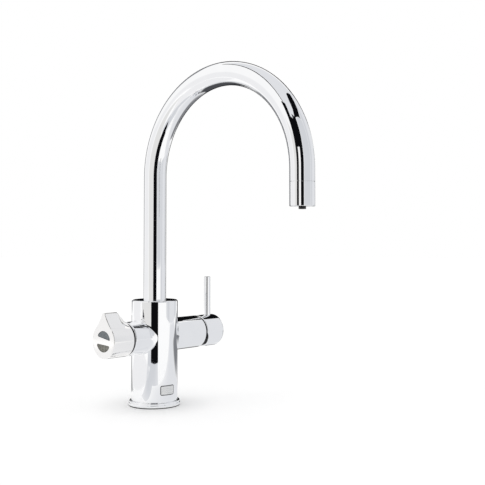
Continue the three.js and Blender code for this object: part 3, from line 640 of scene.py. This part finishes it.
def grown(out, amount=0.0):
    """The knob's section at a distance out from the joint line, drawn inwards by an amount.

    Section = circle + s (teardrop - circle), s = out / GROWTH up to 1. Round s = 1 a parabola takes
    over for a width of BLEND on either side: s = 1 - (1 + BLEND - s)^2 / (4 BLEND).
    """
    straight = out / GROWTH
    s = min(straight, 1.0)
    if abs(straight - 1) < BLEND:
        s = 1 - (1 + BLEND - straight) ** 2 / (4 * BLEND)
    circle = ARM_RADIUS * rim_unit
    return lift(circle + s * (rim - circle) - amount * rim_unit, KNOB_START + out)


quarter = np.linspace(0, math.pi / 2, 6)
back_rows = [grown(JOINT_EDGE * (1 - math.cos(a)), JOINT_EDGE * (1 - math.sin(a))) for a in quarter]
blend_rows = np.linspace(1 - BLEND, 1 + BLEND, 9) * GROWTH
side_rows = [grown(out) for out in (1.5, 3.5, 5.5, 7.5, 9.2, *blend_rows, 13, 17, 21, 25, 27.3)]
front_rows = [lift(inset(KNOB_EDGE * (1 - math.cos(a))), KNOB_FACE - KNOB_EDGE * (1 - math.sin(a)))
              for a in quarter]
bore = CAVITY * rim_unit
rim_share = np.linspace(0, 1, 6)[:, None, None]
end_rows = lift(bore + rim_share * ((ARM_RADIUS - JOINT_EDGE) * rim_unit - bore), KNOB_START)
bore_rows = np.stack([lift(bore, height) for height in (FACE_BACK, FACE_BACK - 0.3, KNOB_START + 0.3)])
shell_rows = np.concatenate([bore_rows, end_rows, np.stack(back_rows[1:] + side_rows + front_rows)])
print("knob rows:", shell_rows.shape)

# %% The knob's face, its windows and the inner side of the face


def half_face(outline, hole, side):
    """A band of the face between the outline with the middle line, and the window's edge."""
    ends = outline[-1], outline[0]
    centre = np.array([0.0, side * WINDOW_MIDDLE])
    across = WINDOW_MIDDLE * np.cos(line_angles) / -np.sin(line_angles)
    reach = WINDOW_MIDDLE * math.cos(end_angle) / -math.sin(end_angle)
    line = np.stack([across * (ends[1][0] / reach), 0 * across], axis=-1)
    outer_loop = np.vstack([outline, line])
    mirror = np.array([1.0, side])
    angles = seen_from(outer_loop * mirror, centre * mirror)
    inner_loop = along_rays(hole, hole, centre * mirror, angles) * mirror
    share = np.array([0, 0.3, 0.6, 0.85, 0.97, 1])[:, None, None]
    return outer_loop + share * (inner_loop - outer_loop), inner_loop


WINDOW_EDGE = 0.25
count = len(upper_rim)
patches = [(shell_rows, True, False)]
face_outline = inset(KNOB_EDGE)
for side, chosen in ((1, np.arange(count)), (-1, np.r_[0, np.arange(len(rim) - 1, count - 2, -1)])):
    hole_outline = half_moon(WINDOW_RADIUS, WINDOW_FLAT, WINDOW_CORNER, side)
    wide_outline = half_moon(WINDOW_RADIUS + WINDOW_EDGE, WINDOW_FLAT - WINDOW_EDGE,
                             WINDOW_CORNER + WINDOW_EDGE, side)
    face, edge_loop = half_face(face_outline[chosen], wide_outline, side)
    inner_face, inner_loop = half_face(bore[chosen], hole_outline, side)
    hole = along_rays(hole_outline, hole_outline, upper_centre,
                      seen_from(edge_loop * [1, side], upper_centre)) * [1, side]
    edge_rows = [lift(hole + (edge_loop - hole) * (1 - math.sin(a)),
                      KNOB_FACE - WINDOW_EDGE * (1 - math.cos(a)))
                 for a in quarter]
    patches += [
        (lift(face, KNOB_FACE), True, False),
        (np.stack(edge_rows + [lift(hole, FACE_BACK + 0.3), lift(inner_loop, FACE_BACK)]), True, False),
        (lift(inner_face, FACE_BACK), True, False),
    ]
patches = [(on_control_side(points), around, along) for points, around, along in patches]
add_piece("knob_shell", patches, knob_chrome_painted_warm, "knob", ["control_knob"], sharp=40)

# %% [markdown]
# ## The buttons
#
# Two half-moon buttons fill the windows, one for boiling and one for chilled water. Each has a soft
# rounded edge and a slightly hollow top for the fingertip, and a flange behind the face that keeps
# it in. Loops of one outline, drawn in and out, make the whole button from the middle of its top to
# the middle of its back.

# %% Buttons
PAD_GAP = 0.3
PAD_TOP = KNOB_FACE - 0.2
FLANGE_TOP = FACE_BACK - SLIP
FLANGE_BACK = FLANGE_TOP - 0.9
ray_angles = np.linspace(0, 2 * math.pi, 240, endpoint=False)


def moon_loop(gap, side):
    """The window's outline drawn inwards by a gap, sampled by rays from the window's middle."""
    corner = max(WINDOW_CORNER - gap, 0.25)
    loop = half_moon(WINDOW_RADIUS - gap, WINDOW_FLAT + gap, corner, side)
    return along_rays(loop, loop, upper_centre, ray_angles)


def button(side):
    """Rows of loops: hollow top, round edge, wall, flange, back. Hollow depth = 0.25 (1 - share^2)."""
    top = moon_loop(PAD_GAP + 0.5, side)
    shares = np.array([0.0, 0.2, 0.4, 0.6, 0.8, 0.93, 1.0])
    rows = [lift(upper_centre + share * (top - upper_centre), PAD_TOP - 0.25 * (1 - share ** 2))
            for share in shares]
    rows += [lift(moon_loop(PAD_GAP + 0.5 * (1 - math.sin(a)), side), PAD_TOP - 0.5 * (1 - math.cos(a)))
             for a in quarter[1:]]
    rows += [lift(moon_loop(PAD_GAP, side), FLANGE_TOP), lift(moon_loop(-0.7, side), FLANGE_TOP),
             lift(moon_loop(-0.7, side), FLANGE_BACK), lift(0 * top + upper_centre, FLANGE_BACK)]
    return on_control_side(np.stack(rows) * [1, side, 1])


add_piece("boiling_button", [(button(1), True, False)], blue_grey, "upper_button",
          ["upper_button"])
add_piece("chilled_button", [(button(-1), True, False)], warm_grey, "lower_button",
          ["lower_button"])

# %% [markdown]
# ## The mixer handle
#
# The cap is turned, with a well rounded end. Its rim is cut back below the lever, which gives the
# cap the room to tilt, and shows as a dark wedge in the joint line, because a black liner fills the
# cap's mouth: the liner is painted shade, a dark part put where the mouth would only be in shadow. So
# each rim point of both grids moves outwards by the cut's slope times its depth under the axis. The
# lever is a plain round rod.

# %% Cap and lever
CAP_START = MIXER_REACH + MIXER_GAP
CAP_END = CAP_START + 28.9
CAP_BORE = ARM_RADIUS - 1.5
CAP_FLOOR = CAP_END - 17.0
LEVER_OUT = CAP_END - 10.9
RELIEF = math.tan(math.radians(25))



def relieved(grid):
    """Slopes the lower half of a rim outwards: out + slope * depth below the axis, fading to the floor."""
    weight = np.clip((CAP_FLOOR - SLIP - grid[..., 2]) / (CAP_FLOOR - SLIP - CAP_START), 0, 1)
    return grid + [0, 0, 1] * (weight * RELIEF * np.clip(-grid[..., 1], 0, None))[..., None]


cap_outline = rounded([
    (0, CAP_FLOOR, 0), (CAP_BORE, CAP_FLOOR, 0.5), (CAP_BORE, CAP_START, 0.2),
    (ARM_RADIUS, CAP_START, 0.9), (ARM_RADIUS, CAP_END, 3.2), (0, CAP_END, 0),
], steps=10, support=0.2)
add_piece("mixer_cap_shell", [(on_mixer_side(relieved(turned(cap_outline, 224))), True, False)], chrome,
          "mixer_handle", ["mixer_cap"])

# The cap's black liner is painted shade: it darkens the cap's mouth, where there would be shadow.
SHADE_LINER_OUTER = CAP_BORE - SLIP
shade_liner_outline = rounded([
    (SHADE_LINER_OUTER - 3, CAP_START, 0.2), (SHADE_LINER_OUTER, CAP_START, 0.2), (SHADE_LINER_OUTER, CAP_FLOOR - SLIP, 0.2),
    (SHADE_LINER_OUTER - 3, CAP_FLOOR - SLIP, 0.2),
], closed=True, steps=3, support=0.05)
add_piece("cap_liner", [(on_mixer_side(relieved(turned(shade_liner_outline))), True, True)], black_plastic,
          "mixer_handle", ["mixer_cap_liner"])

LEVER_RADIUS = 3.8
lever_outline = rounded([
    (0, ARM_RADIUS - 10, 0), (LEVER_RADIUS, ARM_RADIUS - 10, 0.4), (LEVER_RADIUS, 64.2, 0.45), (0, 64.2, 0),
], support=0.15)
lever = turned(lever_outline, 96) @ np.array([[1, 0, 0], [0, 0, 1], [0, 1, 0]]) + [0, 0, LEVER_OUT]
add_piece("lever_rod", [(on_mixer_side(lever), True, False)], chrome, "mixer_handle",
          ["mixer_lever"])

# %% [markdown]
# ## Screws
#
# Three small screws hold the knob, the cap and the spout's bush. Each sits in its hole with a
# six-sided socket in its end. A socket is a profile turned in six sides instead of many: its outline
# has the radius r cos(30 degrees) / cos(angle within the side), which is a hexagon's edge.

# %% Screws
SCREW_RADIUS = 1.9


def screw(length, sides=48):
    """A screw along -Y whose end lies in the plane y = 0: cylinder, rounded end, six-sided socket."""
    angle = np.linspace(0, 2 * math.pi, sides, endpoint=False)
    within = np.mod(angle, math.pi / 3) - math.pi / 6
    hexagon = math.cos(math.pi / 6) / np.cos(within)
    steps = [(0, -length, 0), (SCREW_RADIUS, -length, 0), (SCREW_RADIUS, -0.35, 0),
             (SCREW_RADIUS - 0.1, -0.1, 0),
             (SCREW_RADIUS - 0.35, 0, 0), (1.05, 0, 1), (1.0, -0.08, 1), (1.0, -1.3, 1), (0, -1.3, 1)]
    radius = np.array([size * (hexagon if six else 1 + 0 * hexagon) for size, _, six in steps])
    height = np.array([[height] for _, height, _ in steps]) + 0 * angle
    return np.stack([radius * np.cos(angle), height, radius * np.sin(angle)], axis=-1)


def screw_below(out, depth, place):
    """A screw whose end looks down, at the distance out along an arm, its end depth under the axis."""
    return place(screw(8.0) * [1, -1, 1] + [0, -depth, out])


knob_screw_out = KNOB_START + 1.2 + 6.39
add_piece("knob_screw",
          [(screw_below(knob_screw_out, ARM_RADIUS - 0.05, on_control_side), True, False)], steel,
          "knob", ["knob_grub_screw"])
add_piece("cap_screw", [(screw_below(LEVER_OUT, ARM_RADIUS - 0.05, on_mixer_side), True, False)], steel,
          "mixer_handle", ["mixer_grub_screw"])
back_screw = screw(8.0) + [0, BODY_RADIUS + 0.05, 105.625]
add_piece("bush_screw", [(back_screw, True, False)], steel, "tap_body", ["spout_lock_screw"])

# %% [markdown]
# ## Finishes of the parts inside
#
# The parts inside are the solids themselves. They show when the tap is taken apart, so each one
# gets the finish of its real material.

# %% Finishes inside
inside = {
    brass: ["base_insert", "valve_core", "spout_swivel", "control_valve", "cartridge_nut"],
    copper: ["cold_tail", "hot_tail", "filtered_tail"],
    steel: ["knob_return_spring", "knob_spindle", "mixer_stem", "mixer_pivot_pin"],
    white_plastic: ["spout_bush", "filtered_water_tube", "knob_hub", "mixer_cartridge", "mixer_carrier"],
    black_plastic: ["switch_module"],
    rubber: ["spout_seal_lower", "spout_seal_upper", "cartridge_seal", "switch_pad"],
}
stand_ins = {
    chrome: ["body_shell", "base_ring", "control_arm", "mixer_arm", "control_knob", "mixer_cap",
             "mixer_lever", "spout_tube", "outlet_collar"],
    steel: ["badge_plate", "knob_grub_screw", "mixer_grub_screw", "spout_lock_screw"],
    black_plastic: ["aerator_insert", "outlet_nozzle", "knob_seam_ring", "mixer_seam_ring",
                    "mixer_cap_liner"],
    rubber: ["base_gasket"],
    blue_grey: ["upper_button"],
    warm_grey: ["lower_button"],
}
finished = 0
for group in (inside, stand_ins):
    for material, names in group.items():
        for name in names:
            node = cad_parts[name]
            node.data.materials.clear()
            node.data.materials.append(material)
            finished += 1
print("solids with a finish:", finished, "of", len(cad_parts))

# %% [markdown]
# ## The studio
#
# Chrome shows its surroundings, so the studio is half of the material. The room is white. In front of
# the tap stand dark screens, which draw the black line down the body and the tube. Another hangs
# behind the tap and blackens the tops of the arms. Grey and warm screens at the sides shade the long
# round faces, and cards on the floor do the same for the lower body, which looks down at them. Under
# a pale ceiling run a dark boom and a dark wing: they draw the thin line over the tube's crown and
# the wedge below it. A studio could be one painted picture round the scene, but single cards can each
# be moved while one watches one line of the chrome. They are seen only in reflections: they cast no
# shadow and don't darken the floor.

# %% Studio helpers
CAMERA = np.array([-0.6659, -0.7272, 0.1893])
TOWARDS = CAMERA[:2] / np.linalg.norm(CAMERA[:2])
LEFT = np.array([TOWARDS[1], -TOWARDS[0]])


def studio_point(towards, left, height):
    """A point given by its distance towards the camera and to the camera's left, in metres."""
    return (*(towards * TOWARDS + left * LEFT), height)


def card(name, corners, shade, soft=None, around=(1, 1, 1)):
    """A flat card seen only in reflections, with a plain glow of the given shade.

    soft = (across, up) fades the card into the shade around it, which is the white of the room unless
    given, over these shares of its width and height: shade where min(u, 1 - u) / across and
    min(v, 1 - v) / up both pass 1.
    """
    mesh = bpy.data.meshes.new(name)
    mesh.from_pydata([studio_point(*corner) for corner in corners], [], [list(range(len(corners)))])
    made = bpy.data.objects.new(name, mesh)
    bpy.context.scene.collection.objects.link(made)
    material = bpy.data.materials.new(name)
    material.use_nodes = True
    nodes, links = material.node_tree.nodes, material.node_tree.links
    nodes.clear()
    glow = nodes.new("ShaderNodeEmission")
    glow.inputs["Color"].default_value = (*shade, 1)
    output = nodes.new("ShaderNodeOutputMaterial")
    links.new(glow.outputs["Emission"], output.inputs["Surface"])
    mesh.materials.append(material)
    if soft:
        mesh.uv_layers.new(name="card").data.foreach_set("uv", [0, 0, 1, 0, 1, 1, 0, 1])
        place = nodes.new("ShaderNodeUVMap")
        place.uv_map = "card"
        split = nodes.new("ShaderNodeSeparateXYZ")
        links.new(place.outputs["UV"], split.inputs["Vector"])
        full = nodes.new("ShaderNodeMath")
        full.operation = "MULTIPLY"
        for axis in (0, 1):
            fade = nodes.new("ShaderNodeFloatCurve")
            width = soft[axis]
            points = fade.mapping.curves[0].points
            points[0].location, points[1].location = (0, 0), (1, 0)
            points.new(width, 1)
            points.new(1 - width, 1)
            fade.mapping.update()
            links.new(split.outputs[axis], fade.inputs["Value"])
            links.new(fade.outputs["Value"], full.inputs[axis])
        mix = nodes.new("ShaderNodeMix")
        mix.data_type = "RGBA"
        mix.inputs["A"].default_value = (*around, 1)
        mix.inputs["B"].default_value = (*shade, 1)
        links.new(full.outputs[0], mix.inputs["Factor"])
        links.new(mix.outputs["Result"], glow.inputs["Color"])
    made.visible_camera = made.visible_diffuse = made.visible_shadow = False
    return made


def standing(start, end, low, high):
    """Corners of an upright card between two places (towards, left), from low to high."""
    return [(*start, low), (*end, low), (*end, high), (*start, high)]


# %% Cards
DARK = (0.004, 0.004, 0.005)
DEEP_GREY = (0.07, 0.072, 0.08)
MID_GREY = (0.22, 0.225, 0.24)
STONE_GREY = (0.45, 0.46, 0.49)
COOL_GREY = (0.67, 0.685, 0.715)
PALE_GREY = (0.78, 0.79, 0.815)
WARM_PALE = (0.8, 0.795, 0.785)
OFF_WHITE = (0.9, 0.9, 0.91)
card("front screen right", standing((0.586, -0.179), (0.586, 0.027), 0, 0.7), DARK)
card("front screen foot",
     [(0.335, -0.1, 0.004), (0.335, 0.02, 0.004), (0.586, 0.03, 0.004), (0.586, -0.179, 0.004)], DARK)
card("front screen left", standing((0.309, -0.021), (0.309, 0.0946), 0.008, 0.5), DARK)
card("front screen bridge", standing((0.586, 0.02), (0.586, 0.21), 0.41, 0.64), DARK)
card("back screen", [(-0.9, 0.06, 0.006), (-0.9, -0.62, 0.006), (-0.9, -0.62, 0.45), (-0.9, -0.9, 0.7),
                     (-0.9, -0.9, 1.25), (-0.9, 0.35, 1.25), (-0.9, 0.3, 0.7), (-0.9, 0.06, 0.5)], DARK)
card("grey screen behind", standing((-0.9, 0.1), (-0.8, 0.62), 0.02, 1.2), MID_GREY, (0.2, 0.1))
card("grey screen front", standing((0.59, -0.185), (0.3, -0.6), 0.13, 0.72), COOL_GREY, (0.25, 0.05))
card("grey screen right", standing((0.6, -0.95), (-0.95, -0.95), -0.3, 1.3), COOL_GREY, (0.3, 0.04))
card("pale slope right",
     [(0.28, -0.94, -0.3), (-0.3, -0.94, -0.3), (-1.0, -0.94, 1.32), (0.05, -0.94, 1.32)],
     PALE_GREY, (0.2, 0.03), COOL_GREY)
card("dark post right", standing((-0.6, -0.93), (-0.78, -0.93), 0.12, 0.5), MID_GREY, (0.2, 0.1), COOL_GREY)
card("warm screen left", standing((0.65, 0.16), (0.25, 0.6), -0.05, 0.45), WARM_PALE, (0.25, 0.1))
card("pale screen left", standing((0.2, 0.62), (-0.7, 0.95), -0.1, 0.5), OFF_WHITE, (0.1, 0.25))
boom = np.array([(-0.5, 0.45), (-0.1, 0.38), (0.15, 0.38), (0.408, 0.45), (0.734, 0.596), (1.07, 0.772),
                 (1.51, 0.975)])
card("dark boom", [(t, left - 0.045, 1.355) for t, left in boom] +
     [(t, left + 0.045 + 0.02 * max(t, 0), 1.355) for t, left in boom[::-1]], DARK)
card("dark wing", [(-0.2, -0.85, 1.35), (0.35, -0.45, 1.35), (0.66, -0.34, 1.35), (0.93, -0.3, 1.35),
                   (1.25, -0.1, 1.35), (1.5, 0.35, 1.35), (1.7, 0.93, 1.35), (2.4, 0.93, 1.35),
                   (2.4, -1.5, 1.35), (1.0, -1.24, 1.35), (0.57, -1.15, 1.35), (0.33, -1.01, 1.35),
                   (0.02, -0.92, 1.35)], DARK)
card("pale ceiling", [(t, left, 1.36) for t, left in boom] + [(1.51, -1.3, 1.36), (-0.55, -1.3, 1.36)],
     PALE_GREY)
card("floor in front", [(0.5, 0.3, 0.001), (0.5, -0.14, 0.001), (0.05, -0.02, 0.001), (0.05, 0.08, 0.001)],
     COOL_GREY, (0.3, 0.3), OFF_WHITE)
card("floor right", [(0.16, 0.03, 0.002), (0.16, -0.94, 0.002), (-0.4, -0.94, 0.002), (-0.4, 0.03, 0.002)],
     PALE_GREY, (0.1, 0.25))
card("floor left", [(0.3, 0.6, 0.001), (0.3, 0.12, 0.001), (-0.2, 0.12, 0.001), (-0.2, 0.6, 0.001)],
     OFF_WHITE, (0.1, 0.1))
card("floor behind", [(-0.04, 0.1, 0.003), (-0.1, -0.07, 0.003), (-1.4, -0.45, 0.003), (-1.4, 0.6, 0.003)],
     DEEP_GREY, (0.15, 0.08))
card("floor behind right", [(-0.12, -0.1, 0.0025), (-0.12, -0.6, 0.0025), (-0.9, -0.9, 0.0025),
                            (-0.9, -0.25, 0.0025)], MID_GREY, (0.2, 0.15))

# %% [markdown]
# The floor is white and keeps a soft shadow. For the camera its colour is lifted a little, so that
# the paper reads as white, and everything else sees the plain pale colour. The lift fades where the
# foot hides part of the sky from the paper, which paints a darker contact shadow close to the ring.

# %% Floor and room


def mix_for_camera(nodes, links, for_rest, for_camera, output):
    """Shows one shader to camera, glossy and transmission rays, and another to all other rays."""
    path = nodes.new("ShaderNodeLightPath")
    some = nodes.new("ShaderNodeMath")
    some.operation = "MAXIMUM"
    any_of = nodes.new("ShaderNodeMath")
    any_of.operation = "MAXIMUM"
    links.new(path.outputs["Is Camera Ray"], some.inputs[0])
    links.new(path.outputs["Is Glossy Ray"], some.inputs[1])
    links.new(some.outputs[0], any_of.inputs[0])
    links.new(path.outputs["Is Transmission Ray"], any_of.inputs[1])
    mix = nodes.new("ShaderNodeMixShader")
    links.new(any_of.outputs[0], mix.inputs["Fac"])
    links.new(for_rest.outputs[0], mix.inputs[1])
    links.new(for_camera.outputs[0], mix.inputs[2])
    links.new(mix.outputs[0], output.inputs["Surface"])


world = bpy.data.worlds.new("white room")
world.use_nodes = True
bpy.context.scene.world = world
world_nodes, world_links = world.node_tree.nodes, world.node_tree.links
world_nodes.clear()
room_light = world_nodes.new("ShaderNodeBackground")
room_light.inputs["Strength"].default_value = 0.85
room_seen = world_nodes.new("ShaderNodeBackground")
room_seen.inputs["Strength"].default_value = 1.0
mix_for_camera(world_nodes, world_links, room_light, room_seen, world_nodes.new("ShaderNodeOutputWorld"))
for background in (room_light, room_seen):
    background.inputs["Color"].default_value = (1, 1, 1, 1)

floor_mesh = bpy.data.meshes.new("floor")
floor_mesh.from_pydata([(-6, -6, 0), (6, -6, 0), (6, 6, 0), (-6, 6, 0)], [], [(0, 1, 2, 3)])
floor = bpy.data.objects.new("floor", floor_mesh)
bpy.context.scene.collection.objects.link(floor)
paper = bpy.data.materials.new("white paper")
paper.use_nodes = True
paper_nodes, paper_links = paper.node_tree.nodes, paper.node_tree.links
paper_nodes.clear()
pale = paper_nodes.new("ShaderNodeBsdfDiffuse")
pale.inputs["Color"].default_value = (0.85, 0.85, 0.85, 1)
lit = paper_nodes.new("ShaderNodeBsdfDiffuse")
lit.inputs["Color"].default_value = (0.98, 0.98, 0.98, 1)
lift_up = paper_nodes.new("ShaderNodeEmission")
open_sky = paper_nodes.new("ShaderNodeAmbientOcclusion")
open_sky.inputs["Distance"].default_value = 0.05
# Painted contact shadow: the camera's lift falls off with ambient occlusion near the foot.
painted_shadow_mask = paper_nodes.new("ShaderNodeMath")
painted_shadow_mask.operation = "POWER"
painted_shadow_mask.inputs[1].default_value = 3
paper_links.new(open_sky.outputs["AO"], painted_shadow_mask.inputs[0])
lift = paper_nodes.new("ShaderNodeMath")
lift.operation = "MULTIPLY"
lift.inputs[1].default_value = 0.19
paper_links.new(painted_shadow_mask.outputs[0], lift.inputs[0])
paper_links.new(lift.outputs[0], lift_up.inputs["Strength"])
white = paper_nodes.new("ShaderNodeAddShader")
paper_links.new(lit.outputs[0], white.inputs[0])
paper_links.new(lift_up.outputs[0], white.inputs[1])
mix_for_camera(paper_nodes, paper_links, pale, white, paper_nodes.new("ShaderNodeOutputMaterial"))
floor_mesh.materials.append(paper)

# %% Lamp


def soft_lamp(name, towards, left, height, size, watts):
    """A square lamp that looks at the middle of the tap."""
    data = bpy.data.lights.new(name, "AREA")
    data.size = size
    data.energy = watts
    lamp = bpy.data.objects.new(name, data)
    place = np.array(studio_point(towards, left, height))
    aim = np.array([0.0, -0.08, 0.12]) - place
    lamp.location = place
    lamp.rotation_mode = "QUATERNION"
    lamp.rotation_quaternion = Vector(aim).to_track_quat("-Z", "Y")
    bpy.context.scene.collection.objects.link(lamp)
    lamp.visible_glossy = False
    return lamp


soft_lamp("side lamp", 0.5, 1.6, 0.9, 0.35, 1)

# %% [markdown]
# ## The camera
#
# The photograph was taken from the front left, with the camera a little under half the tap's height
# above the sink and tilted up by two degrees. The picture was then cropped, so the lens looks
# through the upper part of the frame: the camera's vertical shift says by how much.

# %% Camera
TILT = math.radians(2.23)
heading = np.array([0.7465, 0.6654])
heading /= np.linalg.norm(heading)
look = np.array([*(math.cos(TILT) * heading), math.sin(TILT)])
right = np.array([heading[1], -heading[0], 0.0])
upward = np.cross(right, look)

camera_data = bpy.data.cameras.new("camera")
camera_data.lens = 63.8
camera_data.sensor_width = 36
camera_data.shift_y = -0.0804
camera = bpy.data.objects.new("camera", camera_data)
turn = np.column_stack([right, upward, -look])
camera.matrix_world = Matrix.Translation(CAMERA) @ Matrix(turn.tolist()).to_4x4()
bpy.context.scene.collection.objects.link(camera)
bpy.context.scene.camera = camera
bpy.context.scene.view_settings.view_transform = "Standard"
print("camera:", camera.location[:], "lens", camera_data.lens)
